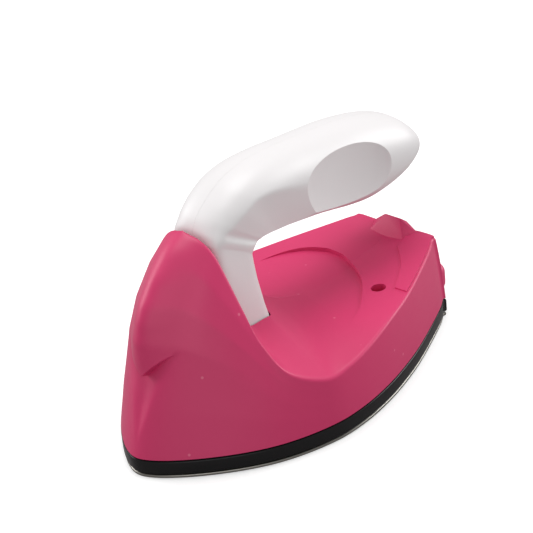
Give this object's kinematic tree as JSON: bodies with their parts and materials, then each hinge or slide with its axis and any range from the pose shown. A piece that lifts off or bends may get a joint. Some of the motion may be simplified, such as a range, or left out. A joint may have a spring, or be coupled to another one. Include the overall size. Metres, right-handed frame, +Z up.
{
  "type": "mini craft iron",
  "caption": "Palm-size craft iron with a pink hooded housing, cantilever grip, flat metal sole and rear dock socket.",
  "frame": {"origin": "centre of the sole's underside, midway between nose and heel", "axes": "-Y towards the nose, +Y towards the heel, +X the iron's left side, +Z up"},
  "size_m": [0.0522, 0.0901, 0.0542],
  "materials": {
    "pink_plastic": "fine satin moulded plastic",
    "white_plastic": "fine satin moulded plastic",
    "black_plastic": "semi-gloss heat-resistant plastic",
    "sole_metal": "smooth, lightly brushed",
    "screw_steel": "plated steel",
    "brass_metal": "plain brass",
    "mica_sheet": "smooth mica sheet",
    "ceramic_white": "unglazed ceramic",
    "red_lens": "clear red lens",
    "seal_resin": "cured resin",
    "red_sleeve": "wire sleeve",
    "blue_sleeve": "wire sleeve"
  },
  "bodies": {
    "iron": {"clamp_screw_front": "screw_steel", "clamp_screw_rear": "screw_steel", "contact_pin_left": "brass_metal", "contact_pin_right": "brass_metal", "foot_plate": "screw_steel", "foot_screw_left": "screw_steel", "foot_screw_right": "screw_steel", "handle_left": "white_plastic", "handle_right": "white_plastic", "handle_screw_front": "screw_steel", "handle_screw_rear": "screw_steel", "heater_clamp": "screw_steel", "heater_element": "sole_metal", "indicator_led": "red_lens", "insulator_tray": "black_plastic", "led_holder": "black_plastic", "led_resistor": "seal_resin", "mica_sheet_lower": "mica_sheet", "mica_sheet_upper": "mica_sheet", "rear_screw_left": "screw_steel", "rear_screw_right": "screw_steel", "socket_housing": "black_plastic", "soleplate": "sole_metal", "strap_screw": "screw_steel", "thermal_fuse": "ceramic_white", "thermostat_case": "ceramic_white", "thermostat_contact": "brass_metal", "thermostat_post": "seal_resin", "thermostat_strap": "screw_steel", "top_shell": "pink_plastic", "tray_screw_front": "screw_steel", "tray_screw_left": "screw_steel", "tray_screw_right": "screw_steel", "wire_fuse": "red_sleeve", "wire_heater": "blue_sleeve", "wire_lamp": "red_sleeve", "wire_live": "red_sleeve", "wire_neutral": "blue_sleeve"},
    "thermostat_arm": {"thermostat_arm": "brass_metal"}
  },
  "joints": [
    {"name": "thermostat_bend", "type": "hinge", "parent": "iron", "child": "thermostat_arm", "pos_m": [-0.00786, 0.032, 0.0076], "axis": [1, 0, 0], "range_deg": [0, 4], "stiffness_Nm_per_rad": 0.05}
  ]
}
